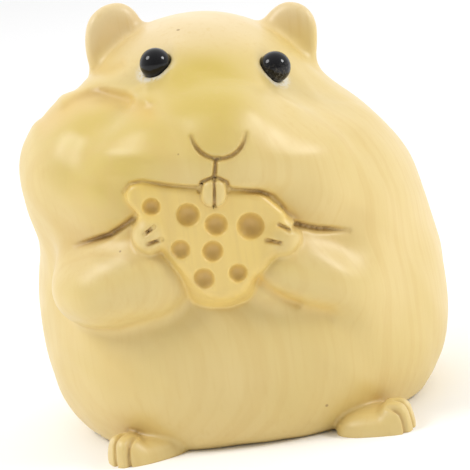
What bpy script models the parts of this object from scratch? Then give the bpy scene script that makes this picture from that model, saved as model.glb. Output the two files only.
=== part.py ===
"""A carved boxwood hamster that sits upright and nibbles a wedge of cheese, with two black bead eyes.

The wood is one solid, cut from one block: body, head, ears, arms, paws, cheese, teeth, feet and tail.
Its underside is planed flat and stands on z = 0. The hamster faces -Y, and its own right side is at -X.

The carving is described as soft forms that flow into each other. Their places and radii are in
hundredths of the figure's height, so the carving follows the height. The head, the arms and the cheese
lean together over the upright body, and are placed in a leaning frame of their own.
"""

from collections import namedtuple
from math import cos, pi, radians, sin

import bmesh
import bpy
import numpy as np
from mathutils import Matrix

# Driving dimensions, in metres
FIGURE_HEIGHT = 0.056
EYE_DIAMETER = 0.004
SOCKET_CLEARANCE = 0.0003

# Fineness of the solid
ROUGH_STEP = FIGURE_HEIGHT / 110
FINE_STEP = FIGURE_HEIGHT / 200
ROUGH_PASSES, FINE_PASSES, LAST_PASSES = 8, 5, 2
WOOD_TRIANGLES = 8300
BEAD_SEGMENTS, BEAD_RINGS = 20, 12

# One share is a hundredth of the figure's height
SHARE = FIGURE_HEIGHT / 100
SOCKET_RADIUS = EYE_DIAMETER / 2 + SOCKET_CLEARANCE

# The head, arms and cheese lean about this point, over to the hamster's left at the top
LEAN = radians(8.5)
LEAN_PIVOT = np.array([0.0, 0.0, 81.0])

# A form is a rounded lump: an ellipsoid at squareness 2, boxier above it. Turn holds degrees about X, Y, Z.
# Blend is how far it flows into the forms before it.
Form = namedtuple("Form", "centre radii turn squareness blend", defaults=((0, 0, 0), 2.0, 8.0))

TRUNK = {
    "belly": Form((0, 2, 23.5), (48.5, 42, 36), squareness=2.4),
    "paunch": Form((0, -9.5, 19), (37, 32, 29), squareness=2.3),
    "back": Form((0, 4, 40), (46.2, 39, 34.5), squareness=2.4, blend=6),
    "rump": Form((0, 20, 24), (38, 25, 26), blend=10),
    "tail": Form((0, 45, 9), (3.4, 4.6, 3.2), blend=3),
}
HEAD = {
    "skull": Form((-1.5, -1, 66.6), (30, 32, 28.2), blend=12),
    "muzzle": Form((0.5, -26, 68.5), (20.5, 19.2, 13.5), squareness=2.2, blend=8),
    "nose": Form((2.4, -35.4, 71.4), (11.8, 11.5, 10.7), blend=3),
    "right whisker pad": Form((-12, -31, 70), (9.5, 10.5, 8.5), blend=5),
    "left whisker pad": Form((13.5, -30.5, 67.5), (8.5, 10, 8), blend=5),
    "upper lip": Form((-0.5, -22.5, 65.5), (28, 24.3, 7.2), squareness=3, blend=6),
    "right cheek": Form((-26, -13, 59.7), (18.3, 22.5, 18.4), blend=5),
    "left cheek": Form((23.6, -14, 56), (18, 22.5, 17.3), blend=13),
    "right jowl": Form((-18, -29, 57.5), (13, 13.8, 10.5), blend=6),
    "left jowl": Form((18.5, -28.5, 58.5), (12.5, 12.8, 9.5), blend=6),
}
EARS = {
    "right": Form((-22.4, 0, 86.5), (7.4, 3.8, 10), (0, -8, 22), 2.2, 2.5),
    "left": Form((17.8, 0, 87), (7.2, 3.8, 10.2), (0, 8, -22), 2.2, 3.0),
}
ARMS = {
    "right arm": Form((-22, -27.5, 37), (14.5, 17, 10.8), (0, -16, 0)),
    "left arm": Form((24.5, -27, 39), (14.5, 17, 10.2), (0, 16, 0)),
    "right wrist": Form((-12.5, -35, 41), (8, 9.4, 9.6), (0, -38, 0), blend=9),
    "left wrist": Form((14.2, -35, 42.2), (8, 9.4, 9.2), (0, 38, 0), blend=9),
}
FEET = {
    "right instep": Form((-26.5, -33, 0.5), (9.0, 6.3, 4.6), (0, 0, 22), 2.4, 1.5),
    "left instep": Form((25.5, -36.5, 0.5), (9.0, 6.8, 4.8), (0, 0, -16), 2.4, 1.5),
    "right toes": Form((-30.9, -35.2, 1.6), (4.0, 5.0, 5.0), (0, 0, 22), 2.8, 1.2),
    "left toes": Form((30.2, -38.6, 1.6), (3.8, 5.2, 5.2), (0, 0, -16), 2.8, 1.2),
}
EAR_HOLLOWS = {
    "right": Form((-23.0, -5.4, 88.5), (5.0, 2.1, 6.8), (0, -8, 22), blend=2.5),
    "left": Form((18.5, -5.4, 89.2), (4.8, 2.1, 7.0), (0, 8, -22), blend=2.5),
}

# The outer side of each eye is dished, so that the beads look sideways as well as forwards
EYE_HOLLOWS = {
    "right": Form((-20.6, -28.4, 92.8), (12, 12, 12), blend=3),
    "left": Form((22.3, -27.2, 89.9), (12, 12, 12), blend=3),
}

# The arms lie on the body in a firm fold
ARM_FOLD, ARM_MELT = 2.5, 9
MELT_FROM, MELT_TO = 24, 38

# The head meets the arms in a crease that is sharp in front and soft at the sides and the back
CREASE_FROM, CREASE_TO = 20, 40
CREASE_FRONT, CREASE_BACK = -24, -4
CREASE_SHARP, CREASE_SOFT = 5.0, 12.0

RIGHT_PALM = Form((-14.2, -43, 50.8), (4.0, 4.3, 4.7), blend=1.5)
LEFT_PALM = Form((15.0, -43, 50.2), (4.2, 4.3, 4.4), blend=1.5)
TEETH = Form((-0.2, -46.4, 60.6), (2.8, 2.0, 3.2), squareness=2.5, blend=0.3)
EYE_CENTRES = ((-13.1, -22.4, 85.3), (13.8, -21.0, 84.6))

# The wedge of cheese: its front face's outline before rounding, in the leaning frame's X and Z
CHEESE_OUTLINE = (
    (-16.4, 59.3), (-3, 58.1), (3, 57.9), (9.2, 57.0), (12.6, 54.2), (13.2, 51.8),
    (4.0, 41.0), (2.2, 40.1), (0.4, 40.3), (-1.0, 41.6),
)
CHEESE_CORNER = 3.1
CHEESE_EDGE = 1.6
CHEESE_FRONT, CHEESE_BACK = -45.8, -35.0
CHEESE_FLARE = 0.7
BLANK_FLARE = 0.25
FLARE_FROM, FLARE_TO = 55, 43
CHEESE_HOLES = (
    (-13.7, 57.1, 2.1), (-5.8, 55.4, 2.7), (0.4, 53.3, 2.6), (7.8, 52.9, 3.1),
    (-7.4, 47.6, 2.2), (-0.3, 47.3, 2.4), (-2.2, 41.1, 2.4), (5.3, 42.5, 2.2),
)

# Each hole is part of a ball whose middle stands a little in front of the cheese
HOLE_RISE, HOLE_SPREAD = 0.12, 0.93
HOLE_RIM, CHEESE_FOOT = 0.5, 0.5

# A knife line runs along a path in X and Z over the front. It fades out over its reach, if it has one.
Line = namedtuple("Line", "path width depth reach", defaults=(None,))
NOSE_CENTRE, NOSE_RADIUS = (0.6, 74.1), 6.0
NOSE_FOOT, NOSE_RIGHT, NOSE_LEFT, NOSE_POINTS = radians(270), radians(196), radians(354), 7


def nose_arc(end):
    """Half of the curved line under the nose, from its lowest point outwards."""
    angles = np.linspace(NOSE_FOOT, end, NOSE_POINTS)
    x, z = NOSE_CENTRE
    return tuple((x + NOSE_RADIUS * cos(angle), z + NOSE_RADIUS * sin(angle)) for angle in angles)


FACE_LINES = {
    "lip over the teeth": Line(((-3.4, 60.6), (-2.9, 63), (0, 64.3), (2.6, 63), (3.1, 60.8)), 0.35, 0.6),
    "right of the nose": Line(nose_arc(NOSE_RIGHT), 0.5, 0.9, 9),
    "left of the nose": Line(nose_arc(NOSE_LEFT), 0.5, 0.9, 9.5),
    "split lip": Line(((0.1, 68.0), (-0.2, 63.6)), 0.45, 0.9),
    "gap between the teeth": Line(((-0.2, 63.2), (-0.1, 57.9)), 0.35, 0.8),
    "right lip line": Line(((-3.6, 61.5), (-10, 61.9), (-15.8, 62.7), (-18.4, 62), (-19.8, 59.8)), 0.5, 0.6, 19),
    "left lip line": Line(((3.2, 61.3), (9.5, 60.6), (12.7, 59.3), (15.4, 56.4)), 0.5, 0.6, 15),
    "right cheek crease": Line(((-17.8, 53.6), (-22.8, 49.2), (-31.5, 45)), 0.7, 1.0, 16),
    "left cheek crease": Line(((17.5, 52.6), (22.5, 51.2), (30, 50.3)), 0.7, 1.0, 14),
    "right upper slit": Line(((-15.1, 51.3), (-13.2, 52.8)), 0.4, 1.2),
    "right lower slit": Line(((-14.4, 49.1), (-11.6, 50.0)), 0.4, 1.2),
    "left upper slit": Line(((16.2, 52.2), (14.0, 53.4)), 0.4, 1.0),
    "left lower slit": Line(((14.4, 49.5), (11.4, 49.9)), 0.4, 1.2),
}
FRONT_FROM, FRONT_FADE = -20, 4
FADING_SHARE = 0.5

# A soft stroke of the gouge follows a path over the skin. A negative depth leaves a ridge.
Stroke = namedtuple("Stroke", "path width depth")
SOFT_STROKES = {
    "right brow": Stroke(
        ((-34, 76.5), (-28.8, 79.4), (-24.2, 80.2), (-19.5, 80), (-15.5, 79.4)), width=2.2, depth=-0.7
    ),
    "valley over the right cheek": Stroke(
        ((-38.5, 71), (-31.2, 76), (-25.6, 77.4), (-20.3, 77.2), (-14.4, 76.8)), width=1.9, depth=0.8
    ),
    "shadow under the right ear": Stroke(((-27, 81.3), (-23.5, 82.7), (-20.7, 84.2)), 1.2, 0.5),
    "left brow": Stroke(((15.4, 79.4), (16.8, 78.5), (18.1, 76.9)), 1.9, -0.3),
    "inner side of the right eye": Stroke(((-8.6, 89), (-8.8, 86.4), (-10, 84)), 2.1, -0.6),
    "inner side of the left eye": Stroke(((9.2, 88), (9.6, 85), (11.3, 82.2)), 2.1, -0.6),
}

# Grooves between the toes: where each crosses the front of the foot in X and Y, and its heading
TOE_GROOVES = ((-33.3, -37.8, -33), (-30.4, -39.6, -33), (31.8, -43.4, 60), (33.5, -40.5, 60))
TOE_GROOVE_WIDTH, TOE_GROOVE_DEPTH = 0.5, 0.8
TOE_GROOVE_RUN = 4.5
TOE_GROOVE_TOP = 8.5

# The strokes all lie above this height, and the feet below this one
STROKES_ABOVE, FEET_BELOW = 62, 12
STROKES_FROM, STROKES_FADE = 0, 6

# The underside is planed flat; just above it the rim of the belly is eased
RIM_ROUNDING = 2.5
RIM_BELOW = 0.4

# How the skin is moved onto the carved surface, in shares of the height
BLANK_SPARE = 0.5
BLANK_SEGMENTS, BLANK_RINGS, POST_SEGMENTS = 24, 16, 16
SLOPE_REACH = 0.12
LONGEST_MOVE = 1.0
LEAST_STEEPNESS = 0.05

# Where the faces stay small: the paws and cheese with the mouth and nose, in the leaning frame, and the feet
FINE_FACE = Form((0, -46, 57), (20, 12, 24))
FINE_FEET = (Form((-30, -36, 3), (9, 9, 8)), Form((31, -38, 3), (9, 9, 8)))
FINE_WEIGHT = 0.9
FINE_FACTOR = 2.5e-6

# In metres
PLANE_MERGE = 1e-7

BOXWOOD, SATIN = (0.74, 0.56, 0.27), 0.42
BLACK_GLASS, GLOSS = (0.012, 0.012, 0.014), 0.08


def turned(turn):
    """The rotation matrix for degrees about X, then Y, then Z."""
    x, y, z = (radians(angle) for angle in turn)
    about_x = np.array([[1, 0, 0], [0, cos(x), -sin(x)], [0, sin(x), cos(x)]])
    about_y = np.array([[cos(y), 0, sin(y)], [0, 1, 0], [-sin(y), 0, cos(y)]])
    about_z = np.array([[cos(z), -sin(z), 0], [sin(z), cos(z), 0], [0, 0, 1]])
    return about_z @ about_y @ about_x


LEANING = turned((0, np.degrees(LEAN), 0))


def into_leaning(points):
    return (points - LEAN_PIVOT) @ LEANING + LEAN_PIVOT


def out_of_leaning(point):
    return LEANING @ (np.array(point, float) - LEAN_PIVOT) + LEAN_PIVOT


def depth_in(form, points):
    """About how far each point is outside the form; negative inside."""
    radii = np.array(form.radii, float)
    local = (points - np.array(form.centre, float)) @ turned(form.turn)
    across = np.abs(local) / radii + 1e-6
    n = form.squareness
    size = (across**n).sum(1) ** (1 / n)
    slope = np.sqrt(((across ** (n - 1) / radii) ** 2).sum(1)) / size ** (n - 1)
    return (size - 1) / slope


def flow(first, second, blend):
    """The union of two forms, with a fillet about as wide as blend."""
    share = np.clip(0.5 + 0.5 * (second - first) / blend, 0, 1)
    return second * (1 - share) + first * share - blend * share * (1 - share)


def scoop(solid, cutter, blend):
    """The solid less the cutter, with a softened rim."""
    return -flow(-solid, cutter, blend)


def flowing(forms, points):
    """The union of a group of forms, each flowing into those before it."""
    solid = None
    for form in forms.values():
        depth = depth_in(form, points)
        solid = depth if solid is None else flow(solid, depth, form.blend)
    return solid


def eased(values, start, end):
    """A smooth step from 0 at start to 1 at end."""
    share = np.clip((values - start) / (end - start), 0, 1)
    return share**2 * (3 - 2 * share)


def path_distance(points, path):
    nearest = np.full(len(points), np.inf)
    for start, end in zip(path, path[1:]):
        run = np.subtract(end, start)
        along = np.clip((points - start) @ run / (run @ run), 0, 1)
        nearest = np.minimum(nearest, np.linalg.norm(points - start - along[:, None] * run, axis=1))
    return nearest


def outline_distance(x, z, outline):
    """Distance to a closed outline, negative inside it."""
    closed = [*outline, outline[0]]
    inside = np.zeros(len(x), bool)
    for (x0, z0), (x1, z1) in zip(closed, closed[1:]):
        if z0 == z1:
            continue
        crossing = x0 + (x1 - x0) * (z - z0) / (z1 - z0)
        inside ^= ((z0 > z) != (z1 > z)) & (x < crossing)
    return np.where(inside, -1, 1) * path_distance(np.stack((x, z), axis=1), closed)


def cheese(points):
    x, y, z = points.T
    middle, half = (CHEESE_FRONT + CHEESE_BACK) / 2, (CHEESE_BACK - CHEESE_FRONT) / 2
    flare = CHEESE_FLARE * eased(z, FLARE_FROM, FLARE_TO) * (y - CHEESE_FRONT)
    around = outline_distance(x, z, CHEESE_OUTLINE) - CHEESE_CORNER - flare + CHEESE_EDGE
    through = np.abs(y - middle) - half + CHEESE_EDGE
    wedge = np.hypot(np.maximum(around, 0), np.maximum(through, 0)) + np.minimum(np.maximum(around, through), 0)
    wedge -= CHEESE_EDGE
    for hole_x, hole_z, radius in CHEESE_HOLES:
        centre = np.array([hole_x, CHEESE_FRONT - HOLE_RISE * radius, hole_z])
        wedge = scoop(wedge, np.linalg.norm(points - centre, axis=1) - HOLE_SPREAD * radius, HOLE_RIM)
    return wedge


def in_line(line, leaning):
    """How far down in a knife line each point is: 1 on its bed, 0 away from it."""
    distance = path_distance(leaning[:, ::2], line.path)
    share = np.exp(-((distance / line.width) ** 2)) * np.clip((FRONT_FROM - leaning[:, 1]) / FRONT_FADE, 0, 1)
    if line.reach:
        start_x, start_z = line.path[0]
        from_start = np.hypot(leaning[:, 0] - start_x, leaning[:, 2] - start_z)
        share *= np.clip((line.reach - from_start) / (FADING_SHARE * line.reach), 0, 1)
    return share


def in_groove(groove, points):
    """How far down in a groove between two toes each point is: 1 on its bed, 0 away from it."""
    x0, y0, heading = groove
    run, rise = sin(radians(heading)), -cos(radians(heading))
    dx, dy = points[:, 0] - x0, points[:, 1] - y0
    distance, along = dx * rise - dy * run, dx * run + dy * rise
    ends = np.clip((along + TOE_GROOVE_RUN) / 2, 0, 1) * np.clip(TOE_GROOVE_TOP - points[:, 2], 0, 1)
    return np.exp(-((distance / TOE_GROOVE_WIDTH) ** 2)) * ends


def in_stroke(stroke, leaning):
    """How near each point is to the middle of a soft stroke, from 0 to 1."""
    fade = np.clip((STROKES_FROM - leaning[:, 1]) / STROKES_FADE, 0, 1)
    return np.exp(-((path_distance(leaning[:, ::2], stroke.path) / stroke.width) ** 2)) * fade


def with_strokes(solid, leaning):
    for stroke in SOFT_STROKES.values():
        solid = solid + stroke.depth * in_stroke(stroke, leaning)
    return solid


def with_front(solid, leaning):
    """Adds what only the front has: cheese, palms, teeth and the knife lines."""
    solid = flow(solid, cheese(leaning), CHEESE_FOOT)
    for form in (RIGHT_PALM, LEFT_PALM, TEETH):
        solid = flow(solid, depth_in(form, leaning), form.blend)
    for line in FACE_LINES.values():
        solid = solid + line.depth * in_line(line, leaning)
    return solid


def with_feet(solid, points):
    for form in FEET.values():
        solid = flow(solid, depth_in(form, points), form.blend)
    for groove in TOE_GROOVES:
        solid = solid + TOE_GROOVE_DEPTH * in_groove(groove, points)
    return solid


def wood(points):
    """How far each point, in shares of the height, is outside the carved wood; negative inside."""
    leaning = into_leaning(points)
    fold = ARM_FOLD + (ARM_MELT - ARM_FOLD) * eased(leaning[:, 0], MELT_FROM, MELT_TO)
    body = flow(flowing(TRUNK, points), flowing(ARMS, leaning), fold)
    head = flowing(HEAD, leaning)
    for hollow in EYE_HOLLOWS.values():
        head = scoop(head, depth_in(hollow, leaning), hollow.blend)
    for side, ear in EARS.items():
        hollow = EAR_HOLLOWS[side]
        head = flow(head, scoop(depth_in(ear, leaning), depth_in(hollow, leaning), hollow.blend), ear.blend)
    softness = np.maximum(
        eased(np.abs(leaning[:, 0]), CREASE_FROM, CREASE_TO), eased(leaning[:, 1], CREASE_FRONT, CREASE_BACK)
    )
    solid = flow(body, head, CREASE_SHARP + (CREASE_SOFT - CREASE_SHARP) * softness)
    solid = scoop(solid, points[:, 2] + RIM_BELOW, RIM_ROUNDING)
    for chosen, finished, where in (
        (leaning[:, 2] > STROKES_ABOVE, with_strokes, leaning),
        (leaning[:, 1] < FRONT_FROM, with_front, leaning),
        (points[:, 2] < FEET_BELOW, with_feet, points),
    ):
        solid[chosen] = finished(solid[chosen], where[chosen])
    return solid


def slope_of(points, reach):
    """The direction in which wood() rises fastest, from four samples around each point."""
    corners = np.array([(1, 1, 1), (1, -1, -1), (-1, 1, -1), (-1, -1, 1)], float)
    slope = sum(corner * wood(points + reach * corner)[:, None] for corner in corners) / (4 * reach)
    steepness = (slope**2).sum(1, keepdims=True)
    return slope / np.maximum(steepness, LEAST_STEEPNESS)


def evened(points, ends):
    """Each point moved half way to the middle of its neighbours, so that the skin stays even."""
    first, second = ends.T
    total, count = np.zeros_like(points), np.zeros(len(points))
    for here, there in ((first, second), (second, first)):
        count += np.bincount(here, minlength=len(points))
        for axis in range(3):
            total[:, axis] += np.bincount(here, weights=points[there, axis], minlength=len(points))
    return (points + total / count[:, None]) / 2


def settle(mesh, passes):
    """Moves a rough mesh's vertices onto the carved surface, evening them between the first passes."""
    flat = np.empty(len(mesh.vertices) * 3)
    mesh.vertices.foreach_get("co", flat)
    ends = np.empty(len(mesh.edges) * 2, int)
    mesh.edges.foreach_get("vertices", ends)
    points = flat.reshape(-1, 3) / SHARE
    for step in range(passes):
        if step < passes - LAST_PASSES:
            points = evened(points, ends.reshape(-1, 2))
        move = slope_of(points, SLOPE_REACH) * wood(points)[:, None]
        length = np.linalg.norm(move, axis=1, keepdims=True)
        points = points - move * np.minimum(1, LONGEST_MOVE / np.maximum(length, 1e-9))
    mesh.vertices.foreach_set("co", (points * SHARE).ravel())
    mesh.update()


# Making the pieces in Blender


def clear_scene():
    for obj in list(bpy.data.objects):
        bpy.data.objects.remove(obj)


def new_collection(name):
    collection = bpy.data.collections.new(name)
    bpy.context.scene.collection.children.link(collection)
    return collection


def keep_in(collection, obj, name):
    for old in list(obj.users_collection):
        old.objects.unlink(obj)
    collection.objects.link(obj)
    obj.name = name
    obj.data.name = name
    return obj


def material(name, colour, roughness):
    made = bpy.data.materials.new(name)
    made.use_nodes = True
    principled = made.node_tree.nodes["Principled BSDF"]
    principled.inputs["Base Color"].default_value = (*colour, 1)
    principled.inputs["Roughness"].default_value = roughness
    return made


def ball(radius, centre, segments, rings):
    bpy.ops.mesh.primitive_uv_sphere_add(segments=segments, ring_count=rings, radius=radius, location=centre)
    return bpy.context.object


def lump(form, leaning):
    """A sphere scaled and turned into one form, a little full so that the carving cuts into it."""
    turn, centre = turned(form.turn), np.array(form.centre, float)
    if leaning:
        turn, centre = LEANING @ turn, out_of_leaning(centre)
    obj = ball(1, (0, 0, 0), BLANK_SEGMENTS, BLANK_RINGS)
    place = Matrix.Translation(centre * SHARE) @ Matrix(turn.tolist()).to_4x4()
    obj.data.transform(place @ Matrix.Diagonal((*((np.array(form.radii, float) + BLANK_SPARE) * SHARE), 1)))
    return obj


def cheese_blank():
    """A drafted post at each corner of the cheese, and the hull around them all."""
    middle, thickness = (CHEESE_FRONT + CHEESE_BACK) / 2, CHEESE_BACK - CHEESE_FRONT
    hull = bmesh.new()
    for x, z in CHEESE_OUTLINE:
        place = Matrix.Translation((x, middle, z)) @ Matrix.Rotation(-pi / 2, 4, "X")
        bmesh.ops.create_cone(
            hull, cap_ends=True, segments=POST_SEGMENTS, depth=thickness, matrix=place,
            radius1=CHEESE_CORNER, radius2=CHEESE_CORNER + BLANK_FLARE * thickness,
        )
    made = bmesh.ops.convex_hull(hull, input=hull.verts[:])
    bmesh.ops.delete(hull, geom=made["geom_interior"] + made["geom_unused"] + made["geom_holes"], context="VERTS")
    mesh = bpy.data.meshes.new("cheese blank")
    hull.to_mesh(mesh)
    hull.free()
    lean, about = Matrix(LEANING.tolist()).to_4x4(), Matrix.Translation(LEAN_PIVOT.tolist())
    mesh.transform(Matrix.Scale(SHARE, 4) @ about @ lean @ about.inverted())
    obj = bpy.data.objects.new("cheese blank", mesh)
    bpy.context.scene.collection.objects.link(obj)
    return obj


def shaped(obj):
    """Replaces an object's mesh with the result of its modifiers."""
    mesh = bpy.data.meshes.new_from_object(obj.evaluated_get(bpy.context.evaluated_depsgraph_get()))
    obj.modifiers.clear()
    obj.data = mesh
    return obj


def remeshed(obj, step):
    remesh = obj.modifiers.new("even skin", "REMESH")
    remesh.mode = "VOXEL"
    remesh.voxel_size = step
    return shaped(obj)


def thinned(obj, triangles):
    """Collapses an object to a number of triangles, keeping more of them in the fine areas."""
    flat = np.empty(len(obj.data.vertices) * 3)
    obj.data.vertices.foreach_get("co", flat)
    points = flat.reshape(-1, 3) / SHARE
    fine = depth_in(FINE_FACE, into_leaning(points)) < 0
    for area in FINE_FEET:
        fine |= depth_in(area, points) < 0
    group = obj.vertex_groups.new(name="fine areas")
    group.add(np.flatnonzero(fine).tolist(), FINE_WEIGHT, "REPLACE")
    thin = obj.modifiers.new("fewer faces", "DECIMATE")
    thin.ratio = triangles / sum(len(face.vertices) - 2 for face in obj.data.polygons)
    thin.vertex_group = group.name
    thin.vertex_group_factor = FINE_FACTOR
    thin.invert_vertex_group = True
    shaped(obj)
    obj.vertex_groups.clear()


def plane_underside(mesh):
    """Cuts everything below z = 0 away and closes the cut with one flat face."""
    work = bmesh.new()
    work.from_mesh(mesh)
    everything = work.verts[:] + work.edges[:] + work.faces[:]
    cut = bmesh.ops.bisect_plane(
        work, geom=everything, plane_co=(0, 0, 0), plane_no=(0, 0, 1), dist=PLANE_MERGE, clear_inner=True
    )
    rim = [part for part in cut["geom_cut"] if isinstance(part, bmesh.types.BMEdge)]
    bmesh.ops.triangle_fill(work, edges=rim, use_beauty=True)
    bmesh.ops.remove_doubles(work, verts=work.verts[:], dist=PLANE_MERGE)
    bmesh.ops.triangulate(work, faces=[face for face in work.faces if len(face.verts) > 3])
    bmesh.ops.recalc_face_normals(work, faces=work.faces[:])
    work.to_mesh(mesh)
    work.free()


def carve_wood(collection, cutters):
    upright_forms = [*TRUNK.values(), *FEET.values()]
    leaning_forms = [*HEAD.values(), *EARS.values(), *ARMS.values(), RIGHT_PALM, LEFT_PALM, TEETH]
    blanks = [lump(form, False) for form in upright_forms] + [lump(form, True) for form in leaning_forms]
    blanks.append(cheese_blank())
    bpy.ops.object.select_all(action="DESELECT")
    for blank in blanks:
        blank.select_set(True)
    bpy.context.view_layer.objects.active = blanks[0]
    bpy.ops.object.join()
    obj = remeshed(bpy.context.object, ROUGH_STEP)
    settle(obj.data, ROUGH_PASSES)
    remeshed(obj, FINE_STEP)
    settle(obj.data, FINE_PASSES)
    thinned(obj, WOOD_TRIANGLES)
    plane_underside(obj.data)
    for centre in EYE_CENTRES:
        where = out_of_leaning(centre) * SHARE
        cutter = keep_in(cutters, ball(SOCKET_RADIUS, where, BEAD_SEGMENTS, BEAD_RINGS), "eye socket cutter")
        cutter.hide_render = True
        cutter.display_type = "WIRE"
        socket = obj.modifiers.new("eye socket", "BOOLEAN")
        socket.operation = "DIFFERENCE"
        socket.solver = "EXACT"
        socket.object = cutter
    obj.data.materials.append(material("boxwood", BOXWOOD, SATIN))
    return keep_in(collection, obj, "carved_figure")


def main():
    clear_scene()
    figure = new_collection("wooden_hamster")
    cutters = new_collection("cutters")
    carve_wood(figure, cutters)
    glass = material("black glass", BLACK_GLASS, GLOSS)
    for name, centre in zip(("right_eye_bead", "left_eye_bead"), EYE_CENTRES):
        bead = ball(EYE_DIAMETER / 2, out_of_leaning(centre) * SHARE, BEAD_SEGMENTS, BEAD_RINGS)
        keep_in(figure, bead, name).data.materials.append(glass)


main()
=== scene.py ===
"""A carved boxwood hamster that nibbles a wedge of cheese, with black bead eyes, on a pale studio floor.

The wood is carved again here at a finer grain than the part's solid: the same soft forms, in hundredths
of the figure's height, with the knife lines, the sockets fitted closely round the beads and the slight
unevenness of hand work. The colour of each place comes from the wood's rings and from how deep the carving
is there, as painted shade in the cuts, holes, creases and hollows; the top of the head is painted paler,
partly as light from above.
"""

from collections import namedtuple
from math import cos, radians, sin

import bmesh
import bpy
import numpy as np
from mathutils import Matrix, Vector


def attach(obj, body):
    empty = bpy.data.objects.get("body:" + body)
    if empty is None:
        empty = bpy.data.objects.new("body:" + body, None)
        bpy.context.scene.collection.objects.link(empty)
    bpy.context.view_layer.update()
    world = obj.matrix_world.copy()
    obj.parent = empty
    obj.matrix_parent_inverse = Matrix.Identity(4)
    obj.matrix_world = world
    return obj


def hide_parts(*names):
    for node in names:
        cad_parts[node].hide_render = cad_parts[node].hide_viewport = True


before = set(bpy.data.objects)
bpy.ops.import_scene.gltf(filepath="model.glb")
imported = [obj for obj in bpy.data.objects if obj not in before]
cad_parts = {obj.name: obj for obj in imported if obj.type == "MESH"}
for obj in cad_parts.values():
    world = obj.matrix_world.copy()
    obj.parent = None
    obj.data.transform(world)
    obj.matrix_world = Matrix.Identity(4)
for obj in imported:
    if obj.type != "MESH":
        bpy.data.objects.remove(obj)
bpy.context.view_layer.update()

# Driving dimensions, in metres
FIGURE_HEIGHT = 0.056
EYE_DIAMETER = 0.004

# One share is a hundredth of the figure's height
SHARE = FIGURE_HEIGHT / 100

# The head, arms and cheese lean about this point, over to the hamster's left at the top
LEAN = radians(8.5)
LEAN_PIVOT = np.array([0.0, 0.0, 81.0])

# A form is a rounded lump: an ellipsoid at squareness 2, boxier above it. Turn holds degrees about X, Y, Z.
# Blend is how far it flows into the forms before it.
Form = namedtuple("Form", "centre radii turn squareness blend", defaults=((0, 0, 0), 2.0, 8.0))

# Keeps the middle of a form, where its slope has no direction, out of the sums
OFF_MIDDLE = 1e-6

TRUNK = {
    "belly": Form((0, 2, 23.5), (48.5, 42, 36), squareness=2.4),
    "paunch": Form((0, -9.5, 19), (37, 32, 29), squareness=2.3),
    "back": Form((0, 4, 40), (46.2, 39, 34.5), squareness=2.4, blend=6),
    "rump": Form((0, 20, 24), (38, 25, 26), blend=10),
    "tail": Form((0, 45, 9), (3.4, 4.6, 3.2), blend=3),
}
HEAD = {
    "skull": Form((-1.5, -1, 66.6), (30, 32, 28.2), blend=12),
    "muzzle": Form((0.5, -26, 68.5), (20.5, 19.2, 13.5), squareness=2.2, blend=8),
    "nose": Form((2.4, -35.4, 71.4), (11.8, 11.5, 10.7), blend=3),
    "right whisker pad": Form((-12, -31, 70), (9.5, 10.5, 8.5), blend=5),
    "left whisker pad": Form((13.5, -30.5, 67.5), (8.5, 10, 8), blend=5),
    "upper lip": Form((-0.5, -22.5, 65.5), (28, 24.3, 7.2), squareness=3, blend=6),
    "right cheek": Form((-26, -13, 59.7), (18.3, 22.5, 18.4), blend=5),
    "left cheek": Form((23.6, -14, 56), (18, 22.5, 17.3), blend=13),
    "right jowl": Form((-18, -29, 57.5), (13, 13.8, 10.5), blend=6),
    "left jowl": Form((18.5, -28.5, 58.5), (12.5, 12.8, 9.5), blend=6),
}
EARS = {
    "right": Form((-22.4, 0, 86.5), (7.4, 3.8, 10), (0, -8, 22), 2.2, 2.5),
    "left": Form((17.8, 0, 87), (7.2, 3.8, 10.2), (0, 8, -22), 2.2, 3.0),
}
ARMS = {
    "right arm": Form((-22, -27.5, 37), (14.5, 17, 10.8), (0, -16, 0)),
    "left arm": Form((24.5, -27, 39), (14.5, 17, 10.2), (0, 16, 0)),
    "right wrist": Form((-12.5, -35, 41), (8, 9.4, 9.6), (0, -38, 0), blend=9),
    "left wrist": Form((14.2, -35, 42.2), (8, 9.4, 9.2), (0, 38, 0), blend=9),
}
FEET = {
    "right instep": Form((-26.5, -33, 0.5), (9.0, 6.3, 4.6), (0, 0, 22), 2.4, 1.5),
    "left instep": Form((25.5, -36.5, 0.5), (9.0, 6.8, 4.8), (0, 0, -16), 2.4, 1.5),
    "right toes": Form((-30.9, -35.2, 1.6), (4.0, 5.0, 5.0), (0, 0, 22), 2.8, 1.2),
    "left toes": Form((30.2, -38.6, 1.6), (3.8, 5.2, 5.2), (0, 0, -16), 2.8, 1.2),
}
EAR_HOLLOWS = {
    "right": Form((-23.0, -5.4, 88.5), (5.0, 2.1, 6.8), (0, -8, 22), blend=2.5),
    "left": Form((18.5, -5.4, 89.2), (4.8, 2.1, 7.0), (0, 8, -22), blend=2.5),
}

# The outer side of each eye is dished, so that the beads look sideways as well as forwards
EYE_HOLLOWS = {
    "right": Form((-20.6, -28.4, 92.8), (12, 12, 12), blend=3),
    "left": Form((22.3, -27.2, 89.9), (12, 12, 12), blend=3),
}

# The arms lie on the body in a firm fold, which melts away towards the outer end of the left arm
ARM_FOLD, ARM_MELT = 2.5, 9
MELT_FROM, MELT_TO = 24, 38

# The head meets the arms in a crease that is sharp in front and soft at the sides and the back
CREASE_FROM, CREASE_TO = 20, 40
CREASE_FRONT, CREASE_BACK = -24, -4
CREASE_SHARP, CREASE_SOFT = 5.0, 12.0

RIGHT_PALM = Form((-14.2, -43, 50.8), (4.0, 4.3, 4.7), blend=1.5)
LEFT_PALM = Form((15.0, -43, 50.2), (4.2, 4.3, 4.4), blend=1.5)
TEETH = Form((-0.2, -46.4, 60.6), (2.8, 2.0, 3.2), squareness=2.5, blend=0.3)
EYE_CENTRES = ((-13.1, -22.4, 85.3), (13.8, -21.0, 84.6))

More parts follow.
